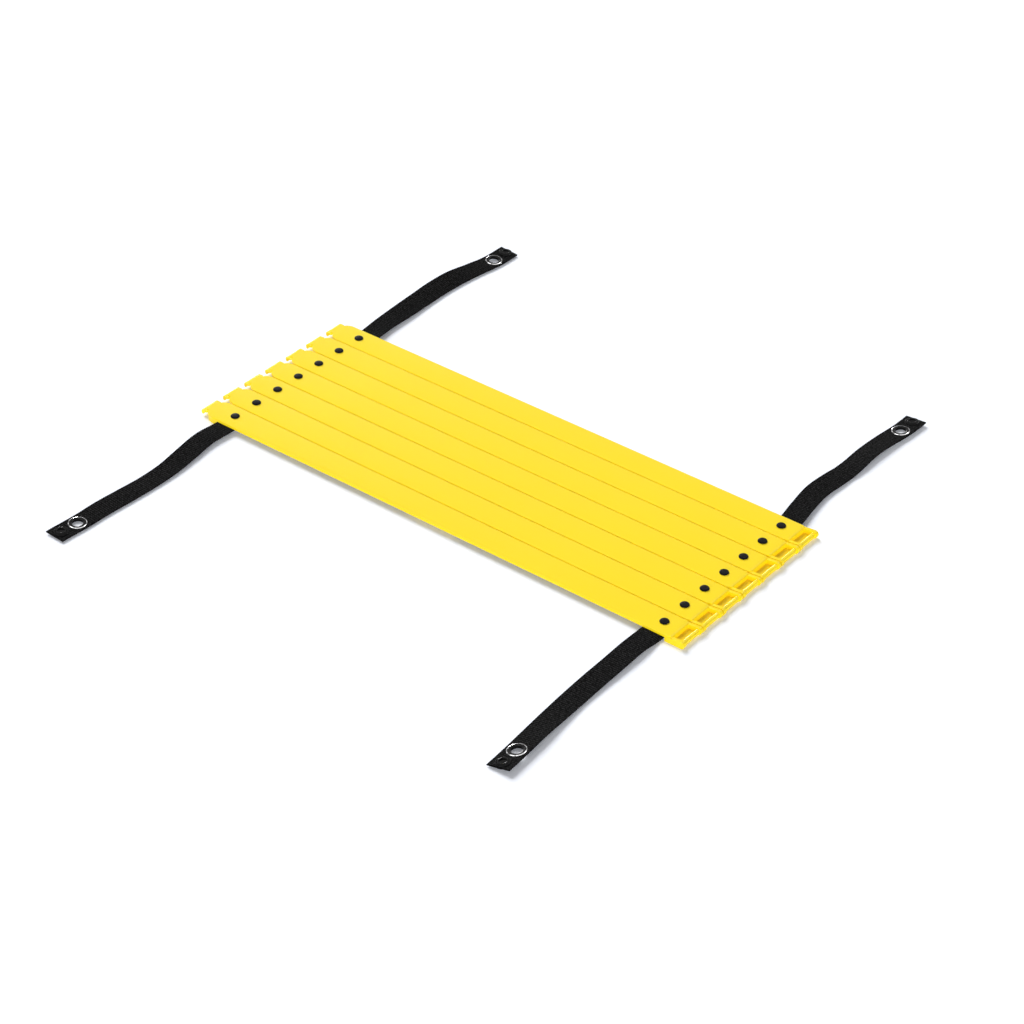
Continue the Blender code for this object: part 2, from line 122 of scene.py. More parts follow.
# Sizes that only the looks have
mould_round = 0.45 * MM
slat_edge_round = 1.1 * MM
slat_end_drop = 1.8 * MM
slat_end_run = 3.2 * MM
eyelet_crown = 0.45 * MM
sag_run = 110.0 * MM
overrun = 1.0 * MM
rib_pitch = 2.0 * MM
rib_height = 0.11 * MM
rib_tooth = 0.3 * MM
yarn_pitch = 1.2 * MM
selvedge_round = 0.45 * MM
root_droop_width = 5.0 * MM
root_droop_depth = 1.9 * MM
root_droop_run = 24.0 * MM
root_droop_start = 2.0 * MM
root_droop_lead = 6.0 * MM
gap_bend_length = 1.1 * MM
ground_touch = 0.01 * MM
merge_distance = 0.02 * MM
cut_setback = 0.2 * MM
grain_depth = 0.02 * MM
weave_depth = 0.14 * MM
# Painted shade: the eyelet metal is painted nearly black inside the radius below, blended to its plated
# colour over the width given here.
painted_shade_blend = 0.15 * MM
eyelet_painted_shade_radius = 6.75 * MM
rivet_rim_height = 0.3 * MM
rivet_rim_round = 0.12 * MM
rivet_flare_round = 0.2 * MM
rivet_ring_depth = 0.14 * MM
fitting_nip = 0.05 * MM
washer_clearance = 0.1 * MM
washer_round = 0.15 * MM
cap_round = 0.25 * MM
post_rise = 0.25 * MM
post_round = 0.5 * MM
cup_edge_round = 0.2 * MM
cup_edge_rise = 0.25 * MM
cup_wall_height = 0.5 * MM
cup_roll_radii = (0.45 * MM, 0.4 * MM)
cup_groove_reach = 1.1 * MM
cup_groove_height = 0.45 * MM
cup_collar_offset = 0.45 * MM
cup_collar_radii = (0.5 * MM, 0.35 * MM)

tail_trim_shares = {
    ("front", "left"): -0.08,
    ("front", "right"): 0.06,
    ("back", "left"): 0.09,
    ("back", "right"): 0.28,
}
tail_fitting_shares = {
    ("front", "left"): 0.15,
    ("front", "right"): 0.02,
    ("back", "left"): 0.07,
    ("back", "right"): -0.16,
}
tail_drift_shares = {
    ("front", "left"): (0.03, -0.02, 0.15, 0.29, 0.30, 0.25, 0.17, 0.14, 0.06),
    ("front", "right"): (-0.09, -0.13, -0.12, -0.12, -0.09, -0.02, 0.07, 0.16, 0.22),
    ("back", "left"): (0, -0.09, -0.10, -0.15, -0.18, -0.14, -0.01, 0.18, 0.20),
    ("back", "right"): (0, -0.20, -0.34, -0.27, -0.21, -0.23, -0.15, -0.01, 0.02),
}
tail_lift_shares = {
    ("front", "left"): (0, -0.20, -0.24, -0.05, 0, -0.16, -0.18, -0.12, -0.12),
    ("front", "right"): (0, 0.10, 0.10, 0.08, 0.10, 0.28, 0.55, 0.55, 0.55),
    ("back", "left"): (0, -0.20, -0.60, -0.78, -1, -0.93, -0.42, -0.27, -0.27),
    ("back", "right"): (0, 0, -0.20, -0.20, 0.22, 0.45, 0.34, 0.22, 0.22),
}

rung_width = rung_pitch - rung_gap
half_width = rung_width / 2
rivet_x = rivet_span / 2
stack_half = (rung_pitch * (rung_count - 1) + rung_width) / 2
rivets_middle = (hook_reach - bar_reach) / 2
slack_bottom = ground_gap
slack_top = slack_bottom + strap_thickness
rivet_flare_bottom = slack_top + rivet_flare_clearance
rivet_flare_top = rivet_flare_bottom + rivet_flare_thickness
strap_bottom = rivet_flare_top + seat_gap
strap_top = strap_bottom + strap_thickness
slat_underside = strap_top + seat_gap
slat_edge_top = slat_underside + slat_edge_thickness
slat_top = slat_edge_top + slat_crown
foot_start = strap_width / 2 - strap_shift + foot_clearance
bar_x = bar_reach - knuckle_radius
bar_slat_reach = bar_x - slot_reach
bar_corner_start = bar_slat_reach - bar_corner_length
arm_root_height = slat_underside + arm_root_rise
slot_half = half_width - foot_draft - knuckle_width
hook_root = hook_reach - hook_length
hook_corner_start = foot_start + hook_side_length
hook_corner_length = hook_root - hook_neck_length - hook_corner_start
hook_foot_reach = hook_root - hook_foot_setback
pocket_top = slat_underside + pocket_depth
fitting_lift = backing_thickness + seat_gap
fitting_pitch = stud_radius + fitting_gap + eyelet_radius
strap_x = rivet_x - strap_shift

half_turn = math.pi
quarter_turn = math.pi / 2
full_turn = 2 * math.pi


# Materials


def new_material(name):
    made = bpy.data.materials.new(name)
    made.use_nodes = True
    tree = made.node_tree
    return made, tree, tree.nodes["Principled BSDF"]


def add_node(tree, kind, inputs=None, **settings):
    node = tree.nodes.new(kind)
    for key, value in settings.items():
        setattr(node, key, value)
    for key, value in (inputs or {}).items():
        if isinstance(value, bpy.types.NodeSocket):
            tree.links.new(value, node.inputs[key])
        else:
            node.inputs[key].default_value = value
    return node


def add_noise(tree, vector, scale, detail):
    inputs = {"Vector": vector, "Scale": scale, "Detail": detail}
    return add_node(tree, "ShaderNodeTexNoise", inputs).outputs["Fac"]


def add_range(tree, value, low, high):
    """The 0 to 1 value put between low and high."""
    inputs = {"Value": value, "To Min": low, "To Max": high}
    return add_node(tree, "ShaderNodeMapRange", inputs).outputs["Result"]


def add_mix(tree, factor, first, second):
    """Two colours mixed: the node's inputs 0, 6 and 7 are its factor and its two colours."""
    node = add_node(tree, "ShaderNodeMix", data_type="RGBA")
    tree.links.new(factor, node.inputs[0])
    node.inputs[6].default_value = (*first, 1)
    node.inputs[7].default_value = (*second, 1)
    return node.outputs[2]


def add_math(tree, operation, first, second=0.0):
    return add_node(tree, "ShaderNodeMath", {0: first, 1: second}, operation=operation).outputs[0]


def add_clamped(tree, value, low, high):
    """0 at low and below, 1 at high and above."""
    inputs = {"Value": value, "From Min": low, "From Max": high}
    return add_node(tree, "ShaderNodeMapRange", inputs).outputs["Result"]


def seen_directly(tree):
    """1 for what the camera sees, also in a mirror or through glass, and 0 for matt light."""
    path = add_node(tree, "ShaderNodeLightPath")
    mirrored = add_math(tree, "MAXIMUM", path.outputs["Is Glossy Ray"], path.outputs["Is Transmission Ray"])
    return add_math(tree, "MAXIMUM", path.outputs["Is Camera Ray"], mirrored)


def object_place(tree):
    return add_node(tree, "ShaderNodeTexCoord").outputs["Object"]


def add_bump(tree, height, strength, distance):
    inputs = {"Height": height, "Strength": strength, "Distance": distance}
    return add_node(tree, "ShaderNodeBump", inputs).outputs["Normal"]


def make_rung_plastic():
    """Satin moulded plastic: a slow drift of colour and gloss, and a very fine grain."""
    made, tree, shader = new_material("rung_plastic")
    place = object_place(tree)
    slow = add_noise(tree, place, 14.0, 3.0)
    colour = add_mix(tree, slow, (0.92, 0.68, 0.008), (0.93, 0.705, 0.011))
    tree.links.new(colour, shader.inputs["Base Color"])
    cloudy = add_noise(tree, place, 90.0, 4.0)
    tree.links.new(add_range(tree, cloudy, 0.33, 0.4), shader.inputs["Roughness"])
    shader.inputs["Specular IOR Level"].default_value = 0.25
    grain = add_noise(tree, place, 2600.0, 3.0)
    normal = add_bump(tree, grain, 0.12, grain_depth)
    tree.links.new(normal, shader.inputs["Normal"])
    return made


def make_rivet_plastic():
    made, tree, shader = new_material("rivet_plastic")
    place = object_place(tree)
    slow = add_noise(tree, place, 400.0, 2.0)
    colour = add_mix(tree, slow, (0.004, 0.004, 0.005), (0.007, 0.007, 0.009))
    tree.links.new(colour, shader.inputs["Base Color"])
    cloudy = add_noise(tree, place, 900.0, 3.0)
    tree.links.new(add_range(tree, cloudy, 0.4, 0.6), shader.inputs["Roughness"])
    shader.inputs["Specular IOR Level"].default_value = 0.06
    grain = add_noise(tree, place, 3000.0, 2.0)
    normal = add_bump(tree, grain, 0.15, grain_depth)
    tree.links.new(normal, shader.inputs["Normal"])
    return made


def make_webbing():
    """Woven webbing with painted glints on its ribs, from each point's place across and along the strap, in
    metres.
    """
    made, tree, shader = new_material("webbing")
    place = add_node(tree, "ShaderNodeAttribute", attribute_name="weave_place").outputs["Vector"]
    parts = add_node(tree, "ShaderNodeSeparateXYZ", {0: place})
    across, along = parts.outputs["X"], parts.outputs["Y"]
    columns = add_math(tree, "MULTIPLY", across, 1 / yarn_pitch)
    rows = add_math(tree, "MULTIPLY", along, 1 / rib_pitch)
    parity = add_math(tree, "PINGPONG", add_math(tree, "FLOOR", columns), 1.0)
    shifted = add_math(tree, "ADD", rows, add_math(tree, "MULTIPLY", parity, 0.15))
    hump = add_math(tree, "PINGPONG", shifted, 0.5)
    side = add_math(tree, "PINGPONG", columns, 0.5)
    hump_share = add_math(tree, "MULTIPLY", hump, 2.0)
    side_share = add_math(tree, "MULTIPLY", side, 2.0)
    yarn = add_math(tree, "MULTIPLY", hump_share, add_math(tree, "POWER", side_share, 0.4))
    twist = add_noise(tree, place, 5200.0, 2.0)
    height = add_math(tree, "ADD", yarn, add_math(tree, "MULTIPLY", twist, 0.35))
    patchy = add_noise(tree, place, 620.0, 3.0)
    # Painted glints: the colour is lighter on the tops of the ribs, in noise patches, as if light caught
    # the weave there.
    shine = add_math(tree, "MULTIPLY", yarn, add_clamped(tree, patchy, 0.35, 0.72))
    colour = add_mix(tree, shine, (0.001, 0.001, 0.001), (0.062, 0.062, 0.063))
    tree.links.new(colour, shader.inputs["Base Color"])
    tree.links.new(add_range(tree, patchy, 0.6, 0.85), shader.inputs["Roughness"])
    shader.inputs["Specular IOR Level"].default_value = 0.012
    tree.links.new(add_bump(tree, height, 0.7, weave_depth), shader.inputs["Normal"])
    return made


def make_metal(name, dark, bright, low, high, metallic, painted_shade_radius=0):
    """Plated metal, mottled by noise: on the eyelet metal the mottling is painted reflection, on the stud
    metal only a slight change of tone. With a radius given, the metal is painted nearly black inside it
    about the piece's own axis, as painted shade in the eyelet's hollow.
    """
    made, tree, shader = new_material(name)
    place = object_place(tree)
    # The noise patches mix the two colours: on the eyelet metal they are painted reflection, dark and light
    # patches standing in for the studio's reflections. On the stud metal they are only a slight change of
    # tone.
    reflection_and_tone_patch = add_clamped(tree, add_noise(tree, place, 260.0, 2.0), 0.42, 0.58)
    colour = add_mix(tree, reflection_and_tone_patch, dark, bright)
    if painted_shade_radius:
        # Painted shade: nearly black inside the radius, where the eyelet's bore and the inner side of its
        # flange lie in shade.
        parts = add_node(tree, "ShaderNodeSeparateXYZ", {0: place})
        squares = [add_math(tree, "POWER", parts.outputs[axis], 2.0) for axis in ("X", "Y")]
        radius = add_math(tree, "SQRT", add_math(tree, "ADD", *squares))
        outside = add_clamped(tree, radius, painted_shade_radius, painted_shade_radius + painted_shade_blend)
        with_painted_shade = add_mix(tree, outside, (0.012, 0.012, 0.012), bright)
        tree.links.new(colour, with_painted_shade.node.inputs[7])
        colour = with_painted_shade
    tree.links.new(colour, shader.inputs["Base Color"])
    cloudy = add_noise(tree, place, 1200.0, 4.0)
    tree.links.new(add_range(tree, cloudy, low, high), shader.inputs["Roughness"])
    shader.inputs["Metallic"].default_value = metallic
    shader.inputs["Specular IOR Level"].default_value = 0.1
    grain = add_noise(tree, place, 1800.0, 2.0)
    normal = add_bump(tree, grain, 0.05, grain_depth)
    tree.links.new(normal, shader.inputs["Normal"])
    return made


# Shapes


def arc(centre, radii, start, end, segments):
    points = []
    for step in range(segments + 1):
        angle = start + (end - start) * step / segments
        points.append((centre[0] + radii[0] * math.cos(angle), centre[1] + radii[1] * math.sin(angle)))
    return points


def new_object(name, bm, finish):
    bmesh.ops.recalc_face_normals(bm, faces=bm.faces)
    mesh = bpy.data.meshes.new(name)
    bm.to_mesh(mesh)
    bm.free()
    obj = bpy.data.objects.new(name, mesh)
    bpy.context.scene.collection.objects.link(obj)
    if finish:
        mesh.materials.append(finish)
    return obj


def prism(outline, place, sweep):
    bm = bmesh.new()
    corners = [bm.verts.new(place(u, v)) for u, v in outline]
    face = bm.faces.new(corners)
    swept = bmesh.ops.extrude_face_region(bm, geom=[face])
    moved = [item for item in swept["geom"] if isinstance(item, bmesh.types.BMVert)]
    bmesh.ops.translate(bm, verts=moved, vec=Vector(sweep))
    return new_object("tool", bm, None)


def upright_prism(outline, low, high):
    return prism(outline, lambda x, y: (x, y, low), (0, 0, high - low))


def cross_prism(outline, near, far):
    return prism(outline, lambda x, z: (x, near, z), (0, far - near, 0))


def long_prism(outline, left, right):
    return prism(outline, lambda y, z: (left, y, z), (right - left, 0, 0))


def rectangle(low_u, high_u, low_v, high_v):
    return [(low_u, low_v), (high_u, low_v), (high_u, high_v), (low_u, high_v)]


def turned(name, profile, sides, is_ring, finish):
    """A profile of (radius, height) points turned about Z: a ring, or closed on the axis."""
    bm = bmesh.new()
    rings = []
    for radius, height in profile:
        if radius == 0:
            rings.append([bm.verts.new((0, 0, height))] * sides)
            continue
        ring = []
        for side in range(sides):
            angle = full_turn * side / sides
            ring.append(bm.verts.new((radius * math.cos(angle), radius * math.sin(angle), height)))
        rings.append(ring)
    pairs = list(zip(rings, rings[1:]))
    if is_ring:
        pairs.append((rings[-1], rings[0]))
    for lower, upper in pairs:
        for side in range(sides):
            after = (side + 1) % sides
            corners = [lower[side], lower[after], upper[after], upper[side]]
            bm.faces.new(list(dict.fromkeys(corners)))
    return new_object(name, bm, finish)


def combine(base, tools, operation):
    for tool in tools:
        boolean = base.modifiers.new("Boolean", "BOOLEAN")
        boolean.operation = operation
        boolean.solver = "EXACT"
        boolean.object = tool
    graph = bpy.context.evaluated_depsgraph_get()
    mesh = bpy.data.meshes.new_from_object(base.evaluated_get(graph))
    base.modifiers.clear()
    base.data = mesh
    for tool in tools:
        bpy.data.objects.remove(tool)


def settle(obj):
    """A bare mesh's points and faces in a fixed order, which a boolean changes from run to run."""
    mesh = obj.data
    points = [tuple(vert.co) for vert in mesh.vertices]
    order = sorted(range(len(points)), key=points.__getitem__)
    rank = {old: new for new, old in enumerate(order)}
    faces = []
    for polygon in mesh.polygons:
        corners = [rank[vert] for vert in polygon.vertices]
        start = corners.index(min(corners))
        faces.append(corners[start:] + corners[:start])
    settled = bpy.data.meshes.new(mesh.name)
    settled.from_pydata([points[old] for old in order], [], sorted(faces))
    obj.data = settled


def smooth(obj, degrees):
    obj.data.shade_smooth()
    obj.data.set_sharp_from_angle(angle=math.radians(degrees))
    return obj


def dress(obj, body, material_slot, *nodes):
    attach(obj, body)
    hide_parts(*nodes)


def copy_at(pattern, name, pose):
    obj = bpy.data.objects.new(name, pattern.data)
    obj.matrix_world = pose
    bpy.context.scene.collection.objects.link(obj)
    for modifier in pattern.modifiers:
        made = obj.modifiers.new(modifier.name, modifier.type)
        for key in ("width", "segments", "limit_method", "angle_limit", "harden_normals", "miter_outer"):
            setattr(made, key, getattr(modifier, key))
    return obj


# Rung


def slat_section():
    inner = half_width - slat_edge_round
    edge_centre = slat_edge_top - slat_edge_round
    radii = (slat_edge_round, slat_edge_round)
    points = [(-half_width, slat_underside), (half_width, slat_underside)]
    points += arc((inner, edge_centre), radii, 0, quarter_turn, 6)
    for step in range(1, 12):
        y = inner - 2 * inner * step / 12
        points.append((y, slat_edge_top + slat_crown * (1 - (y / inner) ** 2)))
    points += arc((-inner, edge_centre), radii, quarter_turn, half_turn, 6)
    return points


def slat_side():
    """The slat from the side: its bar end is rounded down into the slot."""
    near = -rivet_x - hook_reach - overrun
    end = rivet_x + bar_slat_reach
    low, high = slat_underside - overrun, slat_top + overrun
    flat_end = end - slat_end_run
    corner = arc((flat_end, slat_top - slat_end_drop), (slat_end_run, slat_end_drop), 0, quarter_turn, 12)
    return [(near, low), (end, low)] + corner + [(flat_end, high), (near, high)]


def slat_plan():
    wide = half_width + overrun
    bar_corner = arc(
        (rivet_x + bar_corner_start, slot_half),
        (bar_slat_reach - bar_corner_start, half_width - slot_half),
        0,
        quarter_turn,
        16,
    )
    hook_corner = arc(
        (-rivet_x - hook_corner_start, half_width - hook_corner_depth),
        (hook_corner_length, hook_corner_depth),
        quarter_turn,
        half_turn,
        20,
    )
    neck = (-rivet_x - hook_root - overrun, half_width - hook_corner_depth)
    back = bar_corner + [(bar_corner[-1][0], wide), (hook_corner[0][0], wide)] + hook_corner + [neck]
    return back + [(x, -y) for x, y in reversed(back)]


def hook_foot_plan():
    radii = (hook_corner_length - foot_draft, hook_corner_depth - foot_draft)
    centre = (-rivet_x - hook_corner_start, half_width - hook_corner_depth)
    reach = math.asin((hook_foot_reach - hook_corner_start) / radii[0])
    corner = arc(centre, radii, quarter_turn, quarter_turn + reach, 16)
    back = [(-rivet_x - foot_start, half_width - foot_draft)] + corner
    return back + [(x, -y) for x, y in reversed(back)]


def hook_profile():
    outer = -rivet_x - hook_reach
    inner = outer + lip_thickness
    root = -rivet_x - hook_root + overrun
    tip_radius = lip_thickness / 2
    shoulder = (outer + lip_round, slat_edge_top - lip_round)
    pocket = (inner + pocket_round, pocket_top - pocket_round)
    points = [(root, slat_edge_top)]
    points += arc(shoulder, (lip_round, lip_round), quarter_turn, half_turn, 10)
    tip = (outer + tip_radius, lip_tip_height + tip_radius)
    points += arc(tip, (tip_radius, tip_radius), half_turn, full_turn, 16)
    points += arc(pocket, (pocket_round, pocket_round), half_turn, quarter_turn, 6)
    points.append((root, pocket_top))
    return points


def bar_foot_profile(top):
    root = rivet_x + foot_start + foot_draft
    wall = rivet_x + bar_slat_reach - foot_draft
    end = rivet_x + bar_x + bar_radius / 3
    return [(root, 0), (end, 0), (end, slot_floor), (wall, slot_floor), (wall, top), (root, top)]


def arm_profile():
    centre = (rivet_x + bar_x, knuckle_radius)
    radii = (knuckle_radius, knuckle_radius)
    root = rivet_x + foot_start
    return [(root, 0)] + arc(centre, radii, -quarter_turn, quarter_turn, 20) + [(root, arm_root_height)]


def make_rung(finish):
    slat = long_prism(slat_section(), -rivet_x - hook_reach, rivet_x + bar_reach)
    plan = upright_prism(slat_plan(), slat_underside - overrun, slat_top + overrun)
    side = cross_prism(slat_side(), -half_width - overrun, half_width + overrun)
    for tool in (plan, side):
        combine(slat, [tool], "INTERSECT")
        settle(slat)
    pocket_plan = rectangle(
        -rivet_x - hook_reach - overrun, -rivet_x - hook_foot_reach, slat_underside - overrun, pocket_top
    )
    combine(slat, [cross_prism(pocket_plan, -half_width - overrun, half_width + overrun)], "DIFFERENCE")
    settle(slat)
    foot_top = slat_underside + slat_edge_thickness / 2
    foot_half = half_width - foot_draft - knuckle_width / 2
    joined = [
        cross_prism(bar_foot_profile(foot_top), -foot_half, foot_half),
        upright_prism(hook_foot_plan(), 0, foot_top),
    ]
    for side in (-1, 1):
        outer = side * (half_width - foot_draft)
        joined.append(cross_prism(arm_profile(), outer - side * knuckle_width, outer))
    bar_length = 2 * foot_half
    bar_outline = [(0, 0), (bar_radius, 0), (bar_radius, bar_length), (0, bar_length)]
    bar = turned("bar", bar_outline, 28, False, None)
    bar.data.transform(Matrix.Rotation(-quarter_turn, 4, "X"))
    bar.data.transform(Matrix.Translation((rivet_x + bar_x, -foot_half, knuckle_radius)))
    joined.append(bar)
    joined.append(cross_prism(hook_profile(), -hook_width / 2, hook_width / 2))
    combine(slat, joined, "UNION")
    settle(slat)
    holes = []
    for side in (-1, 1):
        outline = [
            (0, slat_underside - overrun),
            (rivet_shank_radius + seat_gap, slat_underside - overrun),
            (rivet_shank_radius + seat_gap, slat_top + overrun),
            (0, slat_top + overrun),
        ]
        hole = turned("hole", outline, 28, False, None)
        hole.location = (side * rivet_x, 0, 0)
        holes.append(hole)
    bpy.context.view_layer.update()
    combine(slat, holes, "DIFFERENCE")
    settle(slat)
    clean_up(slat)
    settle(slat)
    slat.data.materials.append(finish)
    smooth(slat, 34)
    rounding = slat.modifiers.new("Bevel", "BEVEL")
    rounding.width = mould_round
    rounding.segments = 2
    rounding.limit_method = "ANGLE"
    rounding.angle_limit = math.radians(34)
    rounding.harden_normals = True
    return slat


def clean_up(obj):
    """Flat areas as single faces, cut off from the curved ends, so that both shade evenly."""
    bm = bmesh.new()
    bm.from_mesh(obj.data)
    bmesh.ops.remove_doubles(bm, verts=bm.verts, dist=merge_distance)
    bmesh.ops.dissolve_limit(bm, angle_limit=math.radians(0.5), verts=bm.verts, edges=bm.edges)
    slat_curve = rivet_x + bar_slat_reach - slat_end_run
    for x in (-rivet_x - hook_corner_start, rivet_x + bar_corner_start, slat_curve):
        whole = bm.verts[:] + bm.edges[:] + bm.faces[:]
        bmesh.ops.bisect_plane(bm, geom=whole, plane_co=(x - cut_setback, 0, 0), plane_no=(1, 0, 0))
    bm.to_mesh(obj.data)
    bm.free()


# Rivet


def make_rivet(finish):
    """A domed head with a shallow ring pressed into it, a shank and a flare."""
    base = slat_top + seat_gap / 4
    rim = base + rivet_rim_height
    top = slat_top + seat_gap + rivet_head_height
    profile = [
        (0, rivet_flare_bottom),
        (rivet_flare_radius - rivet_flare_round, rivet_flare_bottom),
        (rivet_flare_radius, rivet_flare_bottom + rivet_flare_round),
        (rivet_flare_radius, rivet_flare_top),
        (rivet_shank_radius, rivet_flare_top),
        (rivet_shank_radius, base),
        (rivet_head_radius - rivet_rim_round, base),
        (rivet_head_radius, base + rivet_rim_round),
    ]
    for step in range(21):
        share = math.cos(quarter_turn * step / 20)
        dome = math.sqrt(1 - share**5)
        ring = math.exp(-(((share - 0.5) / 0.08) ** 2)) + 0.4 * math.exp(-((share / 0.3) ** 2))
        height = rim + (top - rim) * (dome * 0.8 + 0.2 * (1 - share**2)) - rivet_ring_depth * ring
        profile.append((rivet_head_radius * share if step < 20 else 0, height))
    return smooth(turned("rivet", profile, 48, False, finish), 40)


# Webbing


def smooth_step(low, high, value):
    share = min(max((value - low) / (high - low), 0), 1)
    return share * share * (3 - 2 * share)


def spaced(table, share):
    last = len(table) - 1
    place = min(max(share, 0), 1) * last
    at = min(int(place), last - 1)
    t = place - at
    before, here, there, beyond = (table[min(max(at + k, 0), last)] for k in (-1, 0, 1, 2))
    bend_in = (there - before) / 2
    bend_out = (beyond - here) / 2
    hermite = (2 * t**3 - 3 * t**2 + 1, t**3 - 2 * t**2 + t, 3 * t**2 - 2 * t**3, t**3 - t**2)
    return hermite[0] * here + hermite[1] * bend_in + hermite[2] * there + hermite[3] * bend_out


def stud_run(tail):
    return tail_length - stud_setback + tail_fitting_shares[tail] * strap_width


def eyelet_run(tail):
    return stud_run(tail) - fitting_pitch


def fitting_share(tail, run):
    fittings = eyelet_run(tail) - eyelet_radius
    return smooth_step(fittings - fitting_rise_length, fittings, run)


def tail_height(run):
    """How high the webbing's underside is: it sags off the rung to the height of its fittings."""
    return fitting_lift + (strap_bottom - fitting_lift) * (1 - smooth_step(0, sag_run, run))


def edge_lift(tail, run):
    free = spaced(tail_lift_shares[tail], run / tail_length)
    steady = spaced(tail_lift_shares[tail], eyelet_run(tail) / tail_length)
    return (free + (steady - free) * fitting_share(tail, run)) * tail_edge_lift


def tail_place(tail, run):
    """Where the middle of the webbing lies on the ground, at this run from the rung's edge."""
    forward = -1 if tail[0] == "front" else 1
    side = -1 if tail[1] == "left" else 1
    drift = spaced(tail_drift_shares[tail], run / tail_length) * strap_width
    freed = smooth_step(-half_width * 0.8, 0, run)
    middle = side * (strap_x + (rivet_x - strap_x) * freed) + drift * freed
    return Vector((rivets_middle + middle, middle_rung_y + forward * (stack_half + run), 0))


def tail_pose(tail, run):
    """The frame of the webbing's underside: X across, Y along and Z out of its top face."""
    step = tail_length / 18
    ahead = tail_place(tail, run + step) - tail_place(tail, run - step)
    if ahead.y < 0:
        ahead = -ahead
    square_off = smooth_step(0, tail_drop, run)
    level = Vector((ahead.y, -ahead.x * square_off, 0)).normalized()
    lift = edge_lift(tail, run)
    upright = Vector((0, 0, 1))
    along = upright.cross(level)
    across = level * math.sqrt(1 - (lift / strap_width) ** 2) + upright * lift / strap_width
    middle = tail_place(tail, run) + upright * (tail_height(run) + abs(lift) / 2)
    pose = Matrix((across, along, across.cross(along))).transposed().to_4x4()
    pose.translation = middle
    return pose


def webbing_section(columns):
    """Points round the webbing's section, as (across, up, outward x, outward z)."""
    half = strap_width / 2
    inner = half - selvedge_round
    points = []
    for face, height in ((1, strap_thickness), (-1, 0)):
        for step in range(columns + 1):
            across = face * inner * (2 * step / columns - 1)
            points.append((across, height, 0, face))
        for angle in (60, 30, 0, -30, -60):
            out_x = face * math.cos(math.radians(angle))
            out_z = face * math.sin(math.radians(angle))
            x = face * inner + selvedge_round * out_x
            points.append((x, strap_thickness / 2 * (1 + out_z), out_x, out_z))
    return points


def rib_wave(along, across):
    """How far a rib stands out of the webbing here, from 0 to 1."""
    column = math.floor(across / yarn_pitch + 0.5)
    shift = 0.25 if column % 2 else 0.0
    return 0.5 + 0.5 * math.cos(full_turn * (along / rib_pitch + shift))


def loft_webbing(name, stations, place, columns, finish):
    """Webbing through its stations, each (where it lies, its length along the weave)."""
    bm = bmesh.new()
    layer = bm.verts.layers.float_vector.new("weave_place")
    section = webbing_section(columns)
    loops = []
    for where, woven in stations:
        loop = []
        for across, up, out_x, out_z in section:
            rib = rib_wave(woven, across)
            tooth = 0.5 + 0.5 * math.cos(full_turn * woven / rib_pitch)
            push = rib_tooth * (tooth - 0.5) if abs(out_x) > 0.4 else 0
            lift = rib_height * (rib - 0.5) * out_z
            vert = bm.verts.new(place(where, across + out_x * push, up + lift))
            vert[layer] = (across, woven, 0)
            loop.append(vert)
        loops.append(loop)
    count = len(section)
    for near, far in zip(loops, loops[1:]):
        for k in range(count):
            after = (k + 1) % count
            bm.faces.new((near[k], near[after], far[after], far[k]))
    bm.faces.new(loops[0])
    bm.faces.new(loops[-1])
    obj = new_object(name, bm, finish)
    obj.data.shade_smooth()
    obj.data.set_sharp_from_angle(angle=math.radians(60))
    return obj


def make_tail(tail, finish):
    """A loose end and the webbing under the last rung, from that rung's rivet line.

    The front right one is cut askew, and one of its edges droops where it leaves the rung.
    """
    forward = -1 if tail[0] == "front" else 1
    length = tail_length - tail_trim_shares[tail] * strap_width
    skewed = tail == ("front", "right")
    zone_low, zone_high = -0.1 * MM, 2.6 * MM
    runs = []
    run = -half_width
    while run < length:
        runs.append(run)
        run += rib_pitch / 12 if zone_low <= run < zone_high else rib_pitch / 4
    runs.append(length)

    def place(run, across, up):
        pose = tail_pose(tail, run)
        if skewed:
            cut = (across / strap_width + 0.5) * tail_end_skew
            pull = cut * smooth_step(length - tail_end_skew * 2, length, run)
            droop_share = max(across - (strap_width / 2 - root_droop_width), 0) / root_droop_width
            droop = root_droop_depth * droop_share**2
            droop *= 1 - smooth_step(root_droop_start, root_droop_run, run)
            droop *= smooth_step(-root_droop_lead, 0, run)
            point = pose @ Vector((across - droop * 0.25, -forward * pull, up - droop))
        else:
            point = pose @ Vector((across, 0, up))
        point.z = max(point.z, ground_touch)
        return point

    stations = [(run, run) for run in runs]
    obj = loft_webbing(f"webbing_tail_{tail[0]}_{tail[1]}", stations, place, 26, finish)
    hole_radius = eyelet_bore_radius + eyelet_wall + eyelet_hole_clearance
    outline = [(0, -overrun), (hole_radius, -overrun), (hole_radius, 3 * overrun), (0, 3 * overrun)]
    hole = turned("hole", outline, 48, False, None)
    hole.matrix_world = tail_pose(tail, eyelet_run(tail))
    bpy.context.view_layer.update()
    combine(obj, [hole], "DIFFERENCE")
    body = f"tail_{tail[0]}_{tail[1]}"
    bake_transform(obj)
    nodes = [body]
    if tail[0] == "back":
        nodes.append(f"strap_{tail[1]}_7")
    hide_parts(*nodes)


def rung_y(number):
    return middle_rung_y + (number - 1 - (rung_count - 1) / 2) * rung_pitch


